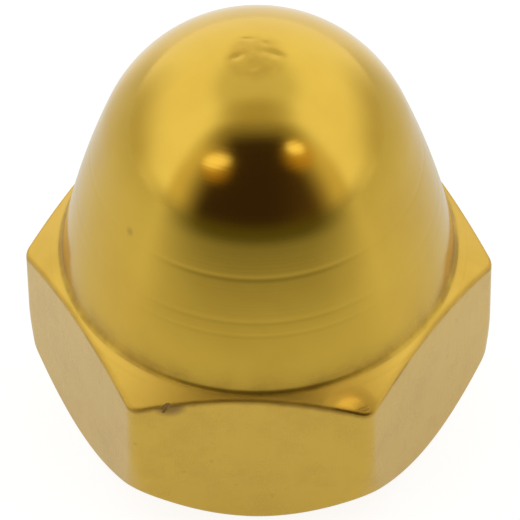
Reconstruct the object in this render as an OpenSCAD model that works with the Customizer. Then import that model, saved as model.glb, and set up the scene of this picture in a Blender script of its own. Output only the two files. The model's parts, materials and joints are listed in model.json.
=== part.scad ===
// Cap nut: a hexagon nut with a tall dome that closes off the end of the bolt.
// It is turned in one piece from hexagon bar, then drilled and tapped from below.
// Sizes are in millimetres. It stands on its bearing face, with the thread's axis on Z.

/* [Hexagon] */
// Width of the bar across its flats
across_flats = 13; // [11.5:0.1:20]
// Height of the flats at their middle, from the bearing face to the top chamfer
hexagon_height = 6.25; // [5:0.05:12]
// Distance from the flats in to the edge of the bearing face
bearing_inset = 0.52; // [0.2:0.02:1]
// Slope of the chamfer round the bearing face, measured from that face
bearing_chamfer_angle = 51; // [15:1:55]
// Slope of the chamfer that takes off the top corners, measured from level
top_chamfer_angle = 32; // [15:1:40]

/* [Dome] */
// Distance from the flats in to the foot of the dome
dome_inset = 0.25; // [0.2:0.05:1.5]
// Radius of the fillet in the crease between the dome and the top chamfer
crease_radius = 0.1; // [0.05:0.01:0.15]
// Height of the dome above the middle of the flats
dome_height = 8.75; // [7:0.05:14]
// Radius of the long arc that leans in up the side of the dome
side_radius = 34; // [20:1:60]
// How much smaller the nose's radius is than the dome's foot
nose_inset = 1.1; // [0.3:0.05:2.5]

/* [Threaded hole] */
// Diameter of the hole as drilled for the thread
bore_diameter = 6.8; // [4:0.1:8]
// Metal left between the drill point and the top of the dome
crown_thickness = 1.95; // [1:0.05:4]
// Angle of the drill point at the end of the hole
drill_point_angle = 118; // [90:1:140]
// Width of the chamfer round the mouth of the hole
mouth_chamfer = 0.8; // [0.2:0.1:1.2]

/* [Hidden] */
$fn = 160;

// How far the bar and the cutting shapes reach past the faces that they cut
overcut = 0.5;
overall_height = hexagon_height + dome_height;

// Hexagon: radius over the corners, and where the bearing chamfer starts
corner_radius = across_flats / 2 / cos(30);
bearing_radius = across_flats / 2 - bearing_inset;

// Foot of the dome, where its side meets the top chamfer
foot_radius = across_flats / 2 - dome_inset;
foot_height = hexagon_height + dome_inset * tan(top_chamfer_angle);

// Nose: an arc about a point on the axis
nose_radius = foot_radius - nose_inset;
nose_centre = overall_height - nose_radius;

// Side: an arc through the foot, tangent to the nose; its centre lies on two circles
nose_rise = nose_centre - foot_height;
nose_distance = sqrt(foot_radius ^ 2 + nose_rise ^ 2);
along = (side_radius ^ 2 - (side_radius - nose_radius) ^ 2 + nose_distance ^ 2) / (2 * nose_distance);
beside = sqrt(side_radius ^ 2 - along ^ 2);
side_centre_radius = foot_radius - (along * foot_radius + beside * nose_rise) / nose_distance;
side_centre_height = foot_height + (along * nose_rise - beside * foot_radius) / nose_distance;
join_angle = atan2(nose_centre - side_centre_height, -side_centre_radius);
join_height = nose_centre + nose_radius * sin(join_angle);

// Crease: a fillet that touches the side from outside and the top chamfer from above
slope = tan(top_chamfer_angle);
fillet_level = hexagon_height + across_flats / 2 * slope + crease_radius / cos(top_chamfer_angle);
fillet_above = fillet_level - side_centre_height;
fillet_half = (side_centre_radius + fillet_above * slope) / (1 + slope ^ 2);
fillet_rest = (side_centre_radius ^ 2 + fillet_above ^ 2 - (side_radius + crease_radius) ^ 2) / (1 + slope ^ 2);
fillet_centre_radius = fillet_half + sqrt(fillet_half ^ 2 - fillet_rest);
fillet_centre_height = fillet_level - fillet_centre_radius * slope;
crease_end_radius = fillet_centre_radius - crease_radius * sin(top_chamfer_angle);
crease_end_height = fillet_centre_height - crease_radius * cos(top_chamfer_angle);
crease_top_share = side_radius / (side_radius + crease_radius);
crease_top_radius = side_centre_radius + (fillet_centre_radius - side_centre_radius) * crease_top_share;
crease_top_height = side_centre_height + (fillet_centre_height - side_centre_height) * crease_top_share;

// Hole: a straight wall for the thread, ending in the drill point
bore_radius = bore_diameter / 2;
drill_point_height = bore_radius / tan(drill_point_angle / 2);
bore_depth = overall_height - crown_thickness - drill_point_height;

// Half section of the hexagon after both chamfers are turned
module hexagon_section() {
    reach = corner_radius + overcut;
    polygon([
        [0, 0],
        [bearing_radius, 0],
        [reach, (reach - bearing_radius) * tan(bearing_chamfer_angle)],
        [reach, hexagon_height - (reach - across_flats / 2) * tan(top_chamfer_angle)],
        [crease_end_radius, crease_end_height],
        [0, crease_end_height]
    ]);
}

// Half section of the dome's foot, with the fillet that runs out into the top chamfer
module foot_section() {
    difference() {
        polygon([
            [0, crease_end_height - overcut],
            [crease_end_radius, crease_end_height - overcut],
            [crease_end_radius, crease_end_height],
            [fillet_centre_radius, fillet_centre_height],
            [crease_top_radius, crease_top_height],
            [crease_top_radius - overcut, crease_top_height + overcut],
            [0, crease_top_height + overcut]
        ]);
        translate([fillet_centre_radius, fillet_centre_height])
            circle(crease_radius);
    }
}

// Half section of the dome: the side up to the join, and the nose over it
module dome_section() {
    intersection() {
        translate([side_centre_radius, side_centre_height])
            circle(side_radius);
        translate([0, crease_top_height])
            square([foot_radius, join_height - crease_top_height]);
    }
    intersection() {
        translate([0, nose_centre])
            circle(nose_radius);
        translate([0, nose_centre])
            square(nose_radius);
    }
}

// Everything that the lathe leaves of the bar
module turned_outside() {
    rotate_extrude()
        union() {
            hexagon_section();
            foot_section();
            dome_section();
        }
}

// The hexagon bar that the nut is turned from, with its flats square to Y
module hexagon_bar() {
    translate([0, 0, -overcut])
        cylinder(h = overall_height + 2 * overcut, r = corner_radius, $fn = 6);
}

// The blind hole: a mouth at 45 degrees, the wall for the thread, and the drill point
module blind_hole() {
    rotate_extrude()
        polygon([
            [0, -overcut],
            [bore_radius + mouth_chamfer + overcut, -overcut],
            [bore_radius, mouth_chamfer],
            [bore_radius, bore_depth],
            [0, bore_depth + drill_point_height]
        ]);
}

module cap_nut() {
    color([0.77, 0.6, 0.23])
        difference() {
            intersection() {
                hexagon_bar();
                turned_outside();
            }
            blind_hole();
        }
}

cap_nut();
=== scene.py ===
"""A brass cap nut, standing on a pale floor in a light tent that is open towards the camera."""

import json
from math import asin, atan, atan2, cos, degrees, exp, hypot, pi, radians, sin, sqrt, tan

import bmesh
import bpy
from mathutils import Matrix, Vector


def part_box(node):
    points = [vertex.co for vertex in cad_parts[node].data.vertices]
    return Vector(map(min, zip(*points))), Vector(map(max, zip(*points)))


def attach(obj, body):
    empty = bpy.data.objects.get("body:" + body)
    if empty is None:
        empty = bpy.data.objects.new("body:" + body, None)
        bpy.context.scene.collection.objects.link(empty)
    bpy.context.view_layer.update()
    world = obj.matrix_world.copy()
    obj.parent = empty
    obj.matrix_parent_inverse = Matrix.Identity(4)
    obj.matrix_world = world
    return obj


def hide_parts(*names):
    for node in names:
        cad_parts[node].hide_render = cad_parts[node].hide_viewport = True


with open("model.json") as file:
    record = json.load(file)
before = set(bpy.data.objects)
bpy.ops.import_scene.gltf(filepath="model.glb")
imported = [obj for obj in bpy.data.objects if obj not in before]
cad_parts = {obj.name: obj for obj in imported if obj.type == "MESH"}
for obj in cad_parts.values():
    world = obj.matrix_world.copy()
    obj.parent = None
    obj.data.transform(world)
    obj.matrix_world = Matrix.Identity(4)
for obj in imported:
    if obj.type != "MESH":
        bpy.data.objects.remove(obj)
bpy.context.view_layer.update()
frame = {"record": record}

# Sizes of the nut, in millimetres
MM = 0.001
node_low, node_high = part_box("cap_nut")
record_mounts = {mount["name"]: mount for mount in frame["record"]["mounts"]}
APOTHEM = (node_high[1] - node_low[1]) / 2 / MM
OVERALL_HEIGHT = node_high[2] / MM
BORE_RADIUS = record_mounts["thread"]["dims"]["r_mm"]
BORE_LENGTH = record_mounts["thread"]["dims"]["length_mm"]
HEXAGON_HEIGHT = 6.25
BEARING_RADIUS = APOTHEM - 0.52
BEARING_CHAMFER = radians(51)
TOP_CHAMFER = radians(32)
CREASE_TURN = pi / 2 - TOP_CHAMFER
CREASE_RADIUS = 0.3
FOOT_RADIUS = APOTHEM - 0.25
NOSE_RADIUS = FOOT_RADIUS - 1.1
NOSE_CENTRE = OVERALL_HEIGHT - NOSE_RADIUS
SIDE_RADIUS = 34.0
MOUTH_CHAMFER = 0.8
DRILL_POINT = radians(118)

# Roundings that drawing and tumbling leave on the bar's corners and on the edges of its flats;
# the corners get rounder over the lowest share of the flats
CORNER_ROUND = 0.55
LOW_CORNER_ROUND = 1.15
LOW_CORNER_SHARE = 0.4
EDGE_ROUND = 0.22

# Shallow grooves that the lathe tool left round the dome: height, half width, depth
TOOL_RINGS = [(10.53, 0.18, 0.0044), (9.00, 0.18, 0.0034), (8.52, 0.15, 0.0027)]

# Marks where the nut was parted off, on top of the dome, within a height below it:
# x, y, half length, half width, turn in degrees, depth
PARTING_HEIGHT = 1.0
PARTING_MARKS = [
    (-0.10, 0.10, 1.05, 0.85, 0, 0.016),
    (-0.56, -0.02, 0.24, 0.15, 28, 0.042),
    (0.54, 0.14, 0.40, 0.20, -14, 0.038),
    (-0.08, -0.46, 0.34, 0.24, 15, 0.022),
    (-0.30, 0.78, 0.34, 0.12, -4, 0.020),
    (0.27, 0.60, 0.20, 0.12, -35, 0.012),
]

# Coarse thread, 8 mm by 1.25 mm
THREAD_RADIUS = 4.0
THREAD_PITCH = 1.25
THREAD_FULL_TO = 8.6
THREAD_RUN_OUT = 1.1

# Nick in the top edge of the front flat: place, half sizes and turn
NICK_PLACE = (-2.55, -6.66, 6.08)
NICK_HALF_SIZES = (0.17, 0.27, 0.62)
NICK_TURN = radians(24)

# Dark speck on the side of the dome
SPECK_PLACE = (-3.78, -3.49, 10.69)

# Soft rubbed spot on the top chamfer, at the right front corner: place and reach
RUB_PLACE = (3.15, -6.53, 5.80)
RUB_REACH = 1.0

# Columns and rows of the turned mesh
COLUMNS = 360
CORNER_CROWDING = 0.8
TIP_ROWS = 46
TIP_ANGLE = radians(15)
NOSE_ROWS = 32
SIDE_ROWS = 56
CREASE_ROWS = 10
FILLET_ROWS = 7
FLAT_ROWS = 14
SHARP_EDGE = radians(25)

# Camera, as fitted to the photograph: angles, distance and field of view, and where the image's centre falls
CAMERA_TURN = radians(2.82)
CAMERA_ELEVATION = radians(48.3)
CAMERA_ROLL = radians(0.85)
CAMERA_DISTANCE = 182.0
FOCAL_PIXELS = 5733.0
IMAGE_PIXELS = 520
AIM_HEIGHT = 6.5
AIM_PIXEL = (258.3, 240.7)
SENSOR_WIDTH = 36.0

FACES = ("dome", "flats", "turned", "hole")


# The nut's shape

def arc(centre, radius, start, end, rows):
    """Points round a centre from one angle to another, in radians from the outward direction."""
    angles = [start + (end - start) * i / rows for i in range(rows + 1)]
    return [(centre[0] + radius * cos(a), centre[1] + radius * sin(a)) for a in angles]


def side_centre():
    """Centre of the arc up the dome's side, which goes through the foot and is tangent to the nose."""
    foot = Vector((FOOT_RADIUS, HEXAGON_HEIGHT + (APOTHEM - FOOT_RADIUS) * tan(TOP_CHAMFER)))
    to_nose = Vector((0, NOSE_CENTRE)) - foot
    along = (SIDE_RADIUS**2 - (SIDE_RADIUS - NOSE_RADIUS) ** 2 + to_nose.length**2) / (2 * to_nose.length)
    beside = sqrt(SIDE_RADIUS**2 - along**2)
    return foot + to_nose.normalized() * along + to_nose.orthogonal().normalized() * beside


def crease_centre(side):
    """Centre of the fillet that touches the dome's side and the top chamfer."""
    slope = tan(TOP_CHAMFER)
    level = HEXAGON_HEIGHT + APOTHEM * slope + CREASE_RADIUS / cos(TOP_CHAMFER)
    above = level - side.y
    half = (side.x + above * slope) / (1 + slope**2)
    rest = (side.x**2 + above**2 - (SIDE_RADIUS + CREASE_RADIUS) ** 2) / (1 + slope**2)
    radius = half + sqrt(half**2 - rest)
    return Vector((radius, level - radius * slope))


SIDE_CENTRE = side_centre()
CREASE_CENTRE = crease_centre(SIDE_CENTRE)
CREASE_LEAN = atan2(CREASE_CENTRE.y - SIDE_CENTRE.y, CREASE_CENTRE.x - SIDE_CENTRE.x)
CREASE_END_RADIUS = CREASE_CENTRE.x - CREASE_RADIUS * cos(CREASE_TURN)
CREASE_END_HEIGHT = CREASE_CENTRE.y - CREASE_RADIUS * sin(CREASE_TURN)


def ring_depth(height):
    """How deep the tool rings cut at this height."""
    total = 0.0
    for place, half_width, depth in TOOL_RINGS:
        total += depth * exp(-(((height - place) / half_width * 2) ** 2))
    return total


def dome_outline():
    """The dome from its top down to the chamfer: nose, side with its tool rings, and crease."""
    join = atan2(NOSE_CENTRE - SIDE_CENTRE.y, -SIDE_CENTRE.x)
    tip = arc((0, NOSE_CENTRE), NOSE_RADIUS, pi / 2, pi / 2 - TIP_ANGLE, TIP_ROWS)
    nose = arc((0, NOSE_CENTRE), NOSE_RADIUS, pi / 2 - TIP_ANGLE, join, NOSE_ROWS)
    angles = {CREASE_LEAN + (join - CREASE_LEAN) * i / SIDE_ROWS for i in range(SIDE_ROWS)}
    for place, half_width, _ in TOOL_RINGS:
        for i in range(-6, 7):
            angles.add(asin((place - SIDE_CENTRE.y + half_width * i / 6) / SIDE_RADIUS))
    side = []
    for a in sorted(angles, reverse=True):
        height = SIDE_CENTRE.y + SIDE_RADIUS * sin(a)
        radius = SIDE_CENTRE.x + SIDE_RADIUS * cos(a)
        side.append((radius - ring_depth(height), height))
    crease = arc(CREASE_CENTRE, CREASE_RADIUS, pi + CREASE_LEAN, pi + CREASE_TURN, CREASE_ROWS)
    return tip + nose[1:] + side + crease[1:]


def flat_outline():
    """The rim at the middle of a flat, from the top chamfer down to the bearing face."""
    low_corner = (APOTHEM - BEARING_RADIUS) * tan(BEARING_CHAMFER)
    low_turn = pi / 2 - BEARING_CHAMFER
    top_centre = (APOTHEM - EDGE_ROUND, HEXAGON_HEIGHT - EDGE_ROUND * tan(CREASE_TURN / 2))
    low_centre = (APOTHEM - EDGE_ROUND, low_corner + EDGE_ROUND * tan(low_turn / 2))
    top_edge = arc(top_centre, EDGE_ROUND, CREASE_TURN, 0, FILLET_ROWS)
    low_edge = arc(low_centre, EDGE_ROUND, 0, -low_turn, FILLET_ROWS)
    top_support = [((CREASE_END_RADIUS + top_edge[0][0]) / 2, (CREASE_END_HEIGHT + top_edge[0][1]) / 2)]
    low_support = [(low_edge[-1][0] - 0.02, low_edge[-1][1] - 0.02 * tan(BEARING_CHAMFER))]
    near_edge = 0.1
    heights = [top_centre[1] - near_edge]
    step = (top_centre[1] - low_centre[1] - 2 * near_edge) / FLAT_ROWS
    heights += [heights[0] - step * i for i in range(1, FLAT_ROWS + 1)]
    wall = [(APOTHEM, height) for height in heights]
    rim = top_support + top_edge + wall + low_edge + low_support
    return rim, top_centre[1], low_centre[1]


def hole_outline():
    """The underside and the blind hole, from the edge of the bearing face in to the drill point."""
    bore_depth = MOUTH_CHAMFER + BORE_LENGTH
    mouth_radius = BORE_RADIUS + MOUTH_CHAMFER
    wall_rows = 10
    wall = [(BORE_RADIUS, MOUTH_CHAMFER + BORE_LENGTH * i / wall_rows) for i in range(wall_rows + 1)]
    point = [(0, bore_depth + BORE_RADIUS / tan(DRILL_POINT / 2))]
    return [(BEARING_RADIUS, 0), ((BEARING_RADIUS + mouth_radius) / 2, 0), (mouth_radius, 0)] + wall + point


def hexagon_radius(angle, share):
    """Distance from the axis to the bar's surface, at a share of the flats' height; a corner lies on X."""
    low = max(1 - share / LOW_CORNER_SHARE, 0) ** 2
    corner_round = CORNER_ROUND + (LOW_CORNER_ROUND - CORNER_ROUND) * low
    from_flat = (degrees(angle) % 60) - 30
    round_centre = (APOTHEM - corner_round) / cos(pi / 6)
    straight_to = degrees(atan((APOTHEM - corner_round) * tan(pi / 6) / APOTHEM))
    if abs(from_flat) <= straight_to:
        return APOTHEM / cos(radians(from_flat))
    away = radians(30 - abs(from_flat))
    return round_centre * cos(away) + sqrt(corner_round**2 - (round_centre * sin(away)) ** 2)


def parting_depth(x, y):
    """How deep the parting marks are at this place on top of the dome."""
    total = 0.0
    for place_x, place_y, half_length, half_width, turn, depth in PARTING_MARKS:
        c, s = cos(radians(turn)), sin(radians(turn))
        along = ((x - place_x) * c + (y - place_y) * s) / half_length
        across = ((y - place_y) * c - (x - place_x) * s) / half_width
        total += depth * exp(-2 * (along**2 + across**2))
    return total


def face_kind(face):
    """Which finish a face of the turned mesh takes."""
    middle = face.calc_center_median()
    radius = hypot(middle.x, middle.y)
    outward = face.normal.x * middle.x + face.normal.y * middle.y
    if outward < 0 and radius < BORE_RADIUS + MOUTH_CHAMFER and middle.z < OVERALL_HEIGHT - PARTING_HEIGHT:
        return "hole"
    if middle.z > CREASE_END_HEIGHT:
        return "dome"
    if abs(face.normal.z) < 0.45 and radius > CREASE_END_RADIUS:
        return "flats"
    return "turned"


def turned_body():
    """The whole nut with a plain hole, turned from its outline and then cut to the hexagon."""
    rim, rim_high, rim_low = flat_outline()
    outline = dome_outline() + rim + hole_outline()
    bm = bmesh.new()
    points = [bm.verts.new((radius, 0, height)) for radius, height in outline]
    lines = [bm.edges.new(pair) for pair in zip(points, points[1:])]
    bmesh.ops.spin(bm, geom=points + lines, cent=(0, 0, 0), axis=(0, 0, 1), angle=2 * pi, steps=COLUMNS,
                   use_merge=True)
    bmesh.ops.remove_doubles(bm, verts=bm.verts, dist=1e-5)
    bmesh.ops.recalc_face_normals(bm, faces=bm.faces)
    for vert in bm.verts:
        radius, angle, height = hypot(vert.co.x, vert.co.y), atan2(vert.co.y, vert.co.x), vert.co.z
        if radius > 1e-4:
            angle -= CORNER_CROWDING / 6 * sin(6 * angle)
        if radius > CREASE_END_RADIUS + 0.001:
            share = min(max((height - rim_low) / (rim_high - rim_low), 0), 1)
            grow = hexagon_radius(angle, share) - APOTHEM
            radius += grow
            height += grow * ((1 - share) * tan(BEARING_CHAMFER) - share * tan(TOP_CHAMFER))
        vert.co = (radius * cos(angle), radius * sin(angle), height)
        if height > OVERALL_HEIGHT - PARTING_HEIGHT:
            vert.co.z -= parting_depth(vert.co.x, vert.co.y)
    bm.normal_update()
    for face in bm.faces:
        face.smooth = True
        face.material_index = FACES.index(face_kind(face))
    return bm


def close_end(bm, edges, height):
    """Closes an open end of the thread tool with a fan to a point on the axis."""
    made = bmesh.ops.extrude_edge_only(bm, edges=edges)["geom"]
    tips = [item for item in made if isinstance(item, bmesh.types.BMVert)]
    bmesh.ops.pointmerge(bm, verts=tips, merge_co=(0, 0, height))


def thread_tool():
    """A right-hand screw that cuts the thread: its ridges are the thread's grooves."""
    core = BORE_RADIUS - 0.1
    flank = (THREAD_RADIUS - core) * tan(pi / 6)
    root = THREAD_PITCH / 8
    base = THREAD_PITCH - root - 2 * flank
    start, turns, steps = -2 * THREAD_PITCH, 10, 96
    bm = bmesh.new()
    ridge = [(core, 0), (core, base), (THREAD_RADIUS, base + flank), (THREAD_RADIUS, base + flank + root),
             (core, THREAD_PITCH)]
    points = [bm.verts.new((radius, 0, start + height)) for radius, height in ridge]
    lines = [bm.edges.new(pair) for pair in zip(points, points[1:])]
    bmesh.ops.spin(bm, geom=points + lines, cent=(0, 0, 0), axis=(0, 0, 1), dvec=(0, 0, THREAD_PITCH / steps),
                   angle=2 * pi * turns, steps=steps * turns)
    bmesh.ops.remove_doubles(bm, verts=bm.verts, dist=1e-4)
    for vert in bm.verts:
        past = min(max((vert.co.z - THREAD_FULL_TO) / THREAD_RUN_OUT, 0), 1)
        radius = hypot(vert.co.x, vert.co.y)
        keep = (core + (radius - core) * (1 - past)) / radius
        vert.co.x *= keep
        vert.co.y *= keep
    middle = start + turns * THREAD_PITCH / 2
    open_edges = [edge for edge in bm.edges if edge.is_boundary]
    low_edges = [edge for edge in open_edges if edge.verts[0].co.z < middle]
    high_edges = [edge for edge in open_edges if edge.verts[0].co.z >= middle]
    close_end(bm, low_edges, start - 0.5)
    close_end(bm, high_edges, start + (turns + 1) * THREAD_PITCH + 0.2)
    bmesh.ops.recalc_face_normals(bm, faces=bm.faces)
    for face in bm.faces:
        face.smooth = True
        face.material_index = FACES.index("hole")
    return bm


def nick_tool():
    """A small blunt wedge that bruises the edge of the front flat."""
    bm = bmesh.new()
    bmesh.ops.create_icosphere(bm, subdivisions=3, radius=1)
    bmesh.ops.scale(bm, vec=NICK_HALF_SIZES, verts=bm.verts)
    bmesh.ops.rotate(bm, cent=(0, 0, 0), matrix=Matrix.Rotation(NICK_TURN, 3, "Y"), verts=bm.verts)
    bmesh.ops.translate(bm, vec=NICK_PLACE, verts=bm.verts)
    for face in bm.faces:
        face.smooth = True
        face.material_index = FACES.index("flats")
    return bm


def new_object(name, bm, finishes):
    mesh = bpy.data.meshes.new(name)
    bm.to_mesh(mesh)
    bm.free()
    for finish in finishes:
        mesh.materials.append(finish)
    obj = bpy.data.objects.new(name, mesh)
    bpy.context.scene.collection.objects.link(obj)
    return obj


def cut(body, tool):
    """Takes the tool's shape out of the body, and puts the tool away."""
    change = body.modifiers.new("cut", "BOOLEAN")
    change.operation = "DIFFERENCE"
    change.solver = "MANIFOLD"
    change.object = tool
    seen = body.evaluated_get(bpy.context.evaluated_depsgraph_get())
    mesh = bpy.data.meshes.new_from_object(seen)
    body.modifiers.clear()
    old = body.data
    body.data = mesh
    bpy.data.meshes.remove(old)
    bpy.data.meshes.remove(tool.data)


def make_nut(finishes):
    nut = new_object("cap_nut_turned", turned_body(), finishes)
    cut(nut, new_object("thread_tool", thread_tool(), finishes))
    cut(nut, new_object("nick_tool", nick_tool(), finishes))
    nut.data.name = "cap_nut_turned"
    nut.data.transform(Matrix.Scale(MM, 4))
    nut.data.set_sharp_from_angle(angle=SHARP_EDGE)
    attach(nut, "root")
    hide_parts("cap_nut")


# Shader maths

class Value:
    """A number that varies over a surface: arithmetic on it adds Math nodes."""

    def __init__(self, sheet, socket):
        self.sheet = sheet
        self.socket = socket

    def math(self, operation, *others):
        sockets = dict(enumerate((self, *others)))
        return self.sheet.add("ShaderNodeMath", {"operation": operation}, sockets).value()

    def __add__(self, other):
        return self.math("ADD", other)

    __radd__ = __add__

    def __sub__(self, other):
        return self.math("SUBTRACT", other)

    def __rsub__(self, other):
        return self.sheet.add("ShaderNodeMath", {"operation": "SUBTRACT"}, {0: other, 1: self}).value()

    def __mul__(self, other):
        return self.math("MULTIPLY", other)

    __rmul__ = __mul__

    def __truediv__(self, other):
        return self.math("DIVIDE", other)

    def __rtruediv__(self, other):
        return self.sheet.add("ShaderNodeMath", {"operation": "DIVIDE"}, {0: other, 1: self}).value()

    def __pow__(self, other):
        return self.math("POWER", other)

    def __abs__(self):
        return self.math("ABSOLUTE")

    def step(self, low, high):
        """0 below low, 1 above high, smooth between; low may be the greater."""
        sockets = {"Value": self, "From Min": low, "From Max": high}
        return self.sheet.add("ShaderNodeMapRange", {"interpolation_type": "SMOOTHSTEP"}, sockets).value()


class Node:
    """One node of a sheet."""

    def __init__(self, sheet, node):
        self.sheet = sheet
        self.node = node

    def value(self, output=0):
        return Value(self.sheet, self.node.outputs[output])


class Sheet:
    """The nodes of one material or of the world."""

    def __init__(self, owner):
        owner.use_nodes = True
        self.tree = owner.node_tree
        self.tree.nodes.clear()

    def add(self, kind, settings=None, sockets=None):
        node = self.tree.nodes.new(kind)
        for name, setting in (settings or {}).items():
            setattr(node, name, setting)
        for name, given in (sockets or {}).items():
            if isinstance(given, Value):
                self.tree.links.new(given.socket, node.inputs[name])
            else:
                node.inputs[name].default_value = given
        return Node(self, node)

    def mix(self, share, first, second):
        """A colour between two, by a share."""
        settings = {"data_type": "RGBA", "clamp_factor": True}
        return self.add("ShaderNodeMix", settings, {0: share, 6: first, 7: second}).value(2)

    def dot(self, vector, direction):
        settings = {"operation": "DOT_PRODUCT"}
        return self.add("ShaderNodeVectorMath", settings, {0: vector, 1: direction}).value("Value")

    def noise(self, vector, scale, detail=2.0, roughness=0.5):
        sockets = {"Vector": vector, "Scale": scale, "Detail": detail, "Roughness": roughness}
        return self.add("ShaderNodeTexNoise", {}, sockets).value("Fac")

    def lines(self, place, scale, detail=3.0):
        """Noise along one measure only, as a tool leaves it."""
        sockets = {"W": place, "Scale": scale, "Detail": detail, "Roughness": 0.6}
        return self.add("ShaderNodeTexNoise", {"noise_dimensions": "1D"}, sockets).value("Fac")

    def place(self):
        """The place on the piece, its three parts in millimetres, and the distance from the axis."""
        spot = self.add("ShaderNodeTexCoord").value("Object")
        split = self.add("ShaderNodeSeparateXYZ", {}, {0: spot})
        x, y, z = (split.value(i) / MM for i in range(3))
        return spot, x, y, z, (x * x + y * y) ** 0.5

    def near(self, spot, place, far, close):
        """1 close to a place given in millimetres, 0 far from it."""
        sockets = {0: spot, 1: tuple(part * MM for part in place)}
        away = self.add("ShaderNodeVectorMath", {"operation": "DISTANCE"}, sockets).value("Value")
        return away.step(far * MM, close * MM)

    def stretched(self, vector, scale):
        sockets = {"Vector": vector, "Scale": scale}
        return self.add("ShaderNodeMapping", {}, sockets).value("Vector")

    def bump(self, height, strength, distance):
        sockets = {"Height": height, "Strength": strength, "Distance": distance}
        return self.add("ShaderNodeBump", {}, sockets).value("Normal")

    def metal(self, colour, roughness, normal, film=0.0, film_roughness=0.1):
        """Metal under a clear film, which shows most where the surface is seen at a slant."""
        sockets = {"Base Color": colour, "Metallic": 1.0, "Roughness": roughness, "Normal": normal,
                   "Coat Weight": film, "Coat Roughness": film_roughness}
        shader = self.add("ShaderNodeBsdfPrincipled", {}, sockets).value("BSDF")
        self.add("ShaderNodeOutputMaterial", {}, {"Surface": shader})


# Finishes of the brass

BRASS = (0.81, 0.53, 0.060, 1)
BRASS_DEEP = (0.62, 0.37, 0.035, 1)
BRASS_PALE = (0.84, 0.545, 0.085, 1)
# Dark brown for real specks and the bruise at the nick, and also for painted shade in the creases and along
# the edges
TARNISH_AND_SHADE = (0.28, 0.15, 0.025, 1)


def polished_dome():
    """Turned and polished: fine rings, a soft cloudiness, a rough patch at the top, a duller foot darkened
    towards the crease by painted shade.
    """
    finish = bpy.data.materials.new("polished_dome")
    sheet = Sheet(finish)
    spot, _, _, z, radius = sheet.place()
    rings = sheet.lines(z - radius, 9.0)
    cloud = sheet.noise(spot, 420.0, 3.0)
    patch = radius.step(1.15, 0.65) * z.step(OVERALL_HEIGHT - 0.6, OVERALL_HEIGHT - 0.2)
    grain = sheet.noise(spot, 2000.0, 2.0)
    foot = z.step(CREASE_END_HEIGHT + 1.5, CREASE_END_HEIGHT)
    deep = cloud.step(0.35, 0.75) * 0.25 + patch * (0.25 + grain.step(0.3, 0.7) * 0.4)
    colour = sheet.mix(deep, BRASS, BRASS_DEEP)
    patchy = sheet.noise(spot, 900.0, 3.0, 0.6).step(0.35, 0.65)
    # Painted shade: the foot of the dome darkens towards the crease, in patches close to it
    painted_foot_shade = foot * 0.10 + foot**3 * (0.06 + patchy * 0.34)
    colour = sheet.mix(painted_foot_shade + sheet.near(spot, SPECK_PLACE, 0.22, 0.02) * 0.35, colour, TARNISH_AND_SHADE)
    roughness = 0.14 + (rings - 0.5) * 0.06 + (cloud - 0.5) * 0.05 + patch * 0.12 + foot**3 * 0.26
    height = rings * 0.5 + patch * grain * 0.3
    finish_normal = sheet.bump(height, 0.06, 0.00002)
    sheet.metal(colour, roughness, finish_normal, 0.40, 0.12)
    return finish


def drawn_flats():
    """Drawn bar, satin: faint lines along the axis, blotches, specks, and a patchy dark line of painted shade
    under the top edge.
    """
    finish = bpy.data.materials.new("drawn_flats")
    sheet = Sheet(finish)
    spot, _, _, z, radius = sheet.place()
    drawn = sheet.noise(sheet.stretched(spot, (5200.0, 5200.0, 260.0)), 1.0, 3.0)
    blotch = sheet.noise(spot, 700.0, 4.0, 0.6)
    speck = sheet.noise(spot, 2600.0, 1.0).step(0.70, 0.80)
    under_edge = HEXAGON_HEIGHT - (radius - APOTHEM) * tan(TOP_CHAMFER) - z
    edge = under_edge.step(0.24, 0.06)
    # Painted shade: a patchy dark line just under the top edge
    painted_edge_shade = edge * blotch.step(0.35, 0.65) * 0.35
    bruise = sheet.near(spot, NICK_PLACE, 0.75, 0.35) * 0.8
    colour = sheet.mix(blotch.step(0.40, 0.75) * 0.3 + speck * 0.4, BRASS, BRASS_DEEP)
    colour = sheet.mix(painted_edge_shade.math("MAXIMUM", bruise), colour, TARNISH_AND_SHADE)
    roughness = 0.26 + (drawn - 0.5) * 0.12 + (blotch - 0.5) * 0.12 + edge.math("MAXIMUM", bruise) * 0.30
    finish_normal = sheet.bump(drawn * 0.7 + blotch * 0.3 - speck * 0.5, 0.10, 0.00003)
    sheet.metal(colour, roughness, finish_normal, 0.75, 0.25)
    return finish


def turned_faces():
    """Chamfers and bearing face: bright, with rings from the tool, one spot rubbed hollow, and painted shade
    along the edges of the flats and at the crease.
    """
    finish = bpy.data.materials.new("turned_faces")
    sheet = Sheet(finish)
    spot, x, y, z, radius = sheet.place()
    rings = sheet.lines(radius, 11.0)
    cloud = sheet.noise(spot, 600.0, 3.0)
    leaning = abs(x) * cos(pi / 6) + abs(y) * 0.5
    to_flats = APOTHEM - abs(y).math("MAXIMUM", leaning)
    top = z.step(HEXAGON_HEIGHT - 1.5, HEXAGON_HEIGHT - 1.0)
    edge = to_flats.step(0.18, 0.06)
    # Painted shade on the top chamfer: a little darker just inside the edges of the flats and at the crease
    painted_edge_shade = edge * cloud.step(0.35, 0.65) * 0.06
    painted_crease_shade = radius.step(CREASE_END_RADIUS + 0.08, CREASE_END_RADIUS) * 0.12
    colour = sheet.mix(cloud.step(0.35, 0.75) * 0.3, BRASS_PALE, BRASS_DEEP)
    colour = sheet.mix(painted_edge_shade.math("MAXIMUM", painted_crease_shade) * top, colour, TARNISH_AND_SHADE)
    rubbed = sheet.near(spot, RUB_PLACE, RUB_REACH, 0.0)
    roughness = 0.36 + (rings - 0.5) * 0.12 + edge * top * 0.12 - rubbed.step(0.1, 0.6) * 0.16
    finish_normal = sheet.bump(rings - rubbed * 28, 0.10, 0.00003)
    sheet.metal(colour, roughness, finish_normal, 0.25, 0.2)
    return finish


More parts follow.
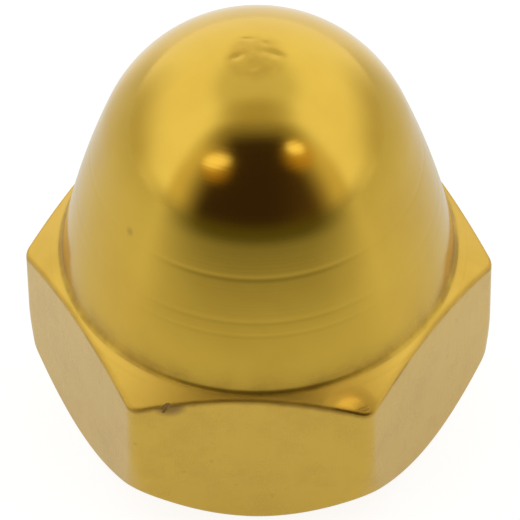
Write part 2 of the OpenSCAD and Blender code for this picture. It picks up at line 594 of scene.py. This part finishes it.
def cut_thread():
    """The tapped hole: a duller, darker cut surface."""
    finish = bpy.data.materials.new("cut_thread")
    sheet = Sheet(finish)
    spot = sheet.place()[0]
    torn = sheet.noise(sheet.stretched(spot, (1500.0, 1500.0, 6000.0)), 1.0, 3.0)
    colour = sheet.mix(torn.step(0.3, 0.8) * 0.7, BRASS, BRASS_DEEP)
    roughness = 0.26 + (torn - 0.5) * 0.2
    finish_normal = sheet.bump(torn, 0.15, 0.00003)
    sheet.metal(colour, roughness, finish_normal)
    return finish


# Studio

FRONT = Vector((sin(CAMERA_TURN), -cos(CAMERA_TURN), 0))
RIGHT = Vector((cos(CAMERA_TURN), sin(CAMERA_TURN), 0))
UP = Vector((0, 0, 1))
TOWARDS = FRONT * cos(CAMERA_ELEVATION) + UP * sin(CAMERA_ELEVATION)
ABOVE = UP * cos(CAMERA_ELEVATION) - FRONT * sin(CAMERA_ELEVATION)

# Light of the tent, from its walls, its hood and its opening
TENT_WHITE = (1.0, 1.0, 1.0, 1)
TENT_ROOF = (0.71, 0.71, 0.69, 1)
TENT_SEAM = (0.57, 0.55, 0.48, 1)
TENT_LOW = (0.77, 0.76, 0.73, 1)
SILL = (0.105, 0.095, 0.03, 1)
HOOD_SIDE = (0.70, 0.63, 0.45, 1)
HOOD_TOP = (0.48, 0.44, 0.33, 1)
OPENING = (0.038, 0.023, 0.019, 1)
OPENING_WARM = (0.085, 0.055, 0.035, 1)

# Two lamps in the opening and the glow round them: place and half size, across and up, as seen from the nut
LAMP = (1.35, 1.22, 0.95, 1)
LAMP_GLOW = (0.62, 0.37, 0.08, 1)
LAMPS = [((-0.56, 0.10), (0.26, 0.12)), ((0.52, 0.26), (0.17, 0.10))]
LAMP_GLOWS = [((-0.58, 0.02), (0.30, 0.24)), ((0.60, 0.16), (0.32, 0.24))]

# Colour of the sheet on the floor, darker in front as painted shade, and its glow, painted light that is
# stronger behind the nut and weaker beside and in front of it
FLOOR_PALE = (0.50, 0.50, 0.49, 1)
FLOOR_FRONT_SHADE = (0.05, 0.05, 0.02, 1)
FLOOR_SEEN = (0.28, 0.28, 0.28, 1)
SHEET_LIGHT = (0.38, 0.38, 0.36, 1)
SHEET_LIGHT_BEHIND = (0.56, 0.56, 0.55, 1)
SHEET_LIGHT_BESIDE = (0.28, 0.28, 0.26, 1)
SHEET_LIGHT_FRONT = (0.05, 0.05, 0.02, 1)
SHEET_LIGHT_SEEN = (0.88, 0.88, 0.88, 1)


def lamp_distance(u, v, place, half):
    """How far a direction lies from a lamp's middle, where 1 is the lamp's edge."""
    return (((u - place[0]) / half[0]) ** 2 + ((v - place[1]) / half[1]) ** 2) ** 0.5


def light_tent():
    """A white tent with a dark opening under a hood, on the camera's side; camera rays see plain white."""
    world = bpy.data.worlds.new("light_tent")
    bpy.context.scene.world = world
    sheet = Sheet(world)
    way = sheet.add("ShaderNodeTexCoord").value("Generated")
    directions = (TOWARDS, ABOVE, RIGHT, UP, FRONT)
    ahead, above, across, height, front = (sheet.dot(way, tuple(d)) for d in directions)
    side = abs(across.math("ARCTAN2", front)) * (180 / pi)
    lift = height.math("ARCSINE") * (180 / pi)
    facing = ahead.step(0.05, 0.2)
    safe = ahead.math("MAXIMUM", 0.05)
    u, v = across / safe, above / safe
    hood_edge = 0.45 + (0.7 - v).math("MAXIMUM", 0.0) * 1.55
    hood = (abs(u) - hood_edge).step(0.38, -0.38) * v.step(1.35, 0.9) * facing
    below = (0.25 - v).math("MAXIMUM", 0.0)
    past_edge = (abs(u) - 0.55 - below * 0.9) / (0.32 + below * 0.22)
    opening = past_edge.step(1.0, -1.0) * v.step(0.75, 0.28) * facing
    roof = (lift + (side - 100).math("MAXIMUM", 0.0) * 0.35).step(58.0, 78.0)
    seam = side.step(70.0, 105.0) * side.step(150.0, 120.0) * lift.step(32.0, 3.0)
    low = side.step(145.0, 125.0) * lift.step(14.0, 0.0)
    sill = side.step(100.0, 80.0) * lift.step(13.0, -2.0)
    colour = sheet.mix(roof, TENT_WHITE, TENT_ROOF)
    colour = sheet.mix(low, colour, TENT_LOW)
    colour = sheet.mix(seam, colour, TENT_SEAM)
    colour = sheet.mix(hood, colour, sheet.mix(v.step(0.2, 0.6), HOOD_SIDE, HOOD_TOP))
    colour = sheet.mix(opening, colour, sheet.mix(u.step(0.1, 1.1), OPENING, OPENING_WARM))
    colour = sheet.mix(sill, colour, sheet.mix(side.step(36.0, 85.0), SILL, TENT_LOW))
    for place, half in LAMP_GLOWS:
        colour = sheet.mix(lamp_distance(u, v, place, half).step(1.2, 0.2) * facing * 0.8, colour, LAMP_GLOW)
    for place, half in LAMPS:
        colour = sheet.mix(lamp_distance(u, v, place, half).step(1.15, 0.5) * facing, colour, LAMP)
    camera = sheet.add("ShaderNodeLightPath").value("Is Camera Ray")
    colour = sheet.mix(camera, colour, TENT_WHITE)
    background = sheet.add("ShaderNodeBackground", {}, {"Color": colour, "Strength": 1.0}).value("Background")
    sheet.add("ShaderNodeOutputWorld", {}, {"Surface": background})


def pale_floor():
    """A pale sheet under the nut that glows with painted light, brighter behind it, with painted shade beside
    it and in front where it leaves the tent; it keeps a faint shadow.
    """
    finish = bpy.data.materials.new("pale_floor")
    sheet = Sheet(finish)
    spot = sheet.add("ShaderNodeTexCoord").value("Object")
    front, across = (sheet.dot(spot, tuple(v)) / MM for v in (FRONT, RIGHT))
    spread = abs(across) / front.math("MAXIMUM", 1.0)
    distance = (front * front + across * across) ** 0.5
    forward = front / distance.math("MAXIMUM", 1.0)
    far = 1 - 1 / (1 + (distance / 44) ** 2)
    # Painted shade and light: the floor darkens and its glow weakens towards the front, and the glow is
    # stronger behind the nut and weaker beside it
    dim = spread.step(2.5, 0.5) * front.step(2.0, 8.0) * far
    beside = forward.step(-0.93, -0.70) * forward.step(0.5, 0.2) * far
    behind = forward.step(-0.75, -0.95) * distance.step(5.0, 25.0)
    camera = sheet.add("ShaderNodeLightPath").value("Is Camera Ray")
    colour = sheet.mix(camera, sheet.mix(dim, FLOOR_PALE, FLOOR_FRONT_SHADE), FLOOR_SEEN)
    glow = sheet.mix(behind, SHEET_LIGHT, SHEET_LIGHT_BEHIND)
    glow = sheet.mix(beside, glow, SHEET_LIGHT_BESIDE)
    glow = sheet.mix(dim, glow, SHEET_LIGHT_FRONT)
    glow = sheet.mix(camera, glow, SHEET_LIGHT_SEEN)
    sheet_light = sheet.add("ShaderNodeEmission", {}, {"Color": glow, "Strength": 1.0}).value("Emission")
    plain = sheet.add("ShaderNodeBsdfDiffuse", {}, {"Color": colour}).value("BSDF")
    shader = sheet.add("ShaderNodeAddShader", {}, {0: plain, 1: sheet_light}).value("Shader")
    sheet.add("ShaderNodeOutputMaterial", {}, {"Surface": shader})
    return finish


def make_floor():
    bm = bmesh.new()
    bmesh.ops.create_circle(bm, cap_ends=True, segments=96, radius=900 * MM)
    bmesh.ops.translate(bm, vec=(0, 0, -0.02 * MM), verts=bm.verts)
    floor = new_object("floor", bm, [pale_floor()])


def make_camera():
    """The camera at the photograph's viewing angle, aimed so that the nut falls where it does there."""
    c, s = cos(CAMERA_ROLL), sin(CAMERA_ROLL)
    right = RIGHT * c - ABOVE * s
    above = RIGHT * s + ABOVE * c
    middle = IMAGE_PIXELS / 2
    per_pixel = CAMERA_DISTANCE / FOCAL_PIXELS
    shift = [(middle - pixel) * per_pixel for pixel in AIM_PIXEL]
    aim = UP * AIM_HEIGHT + right * shift[0] - above * shift[1]
    data = bpy.data.cameras.new("camera")
    data.sensor_width = SENSOR_WIDTH
    data.lens = SENSOR_WIDTH * FOCAL_PIXELS / IMAGE_PIXELS
    data.clip_start = 0.01
    data.clip_end = 10
    camera = bpy.data.objects.new("camera", data)
    eye = (aim + TOWARDS * CAMERA_DISTANCE) * MM
    turn = Matrix((right, above, TOWARDS)).transposed()
    camera.matrix_world = Matrix.Translation(eye) @ turn.to_4x4()
    bpy.context.scene.collection.objects.link(camera)
    bpy.context.scene.camera = camera


bpy.context.scene.view_settings.view_transform = "Standard"
make_camera()
light_tent()
make_floor()
make_nut([polished_dome(), drawn_flats(), turned_faces(), cut_thread()])
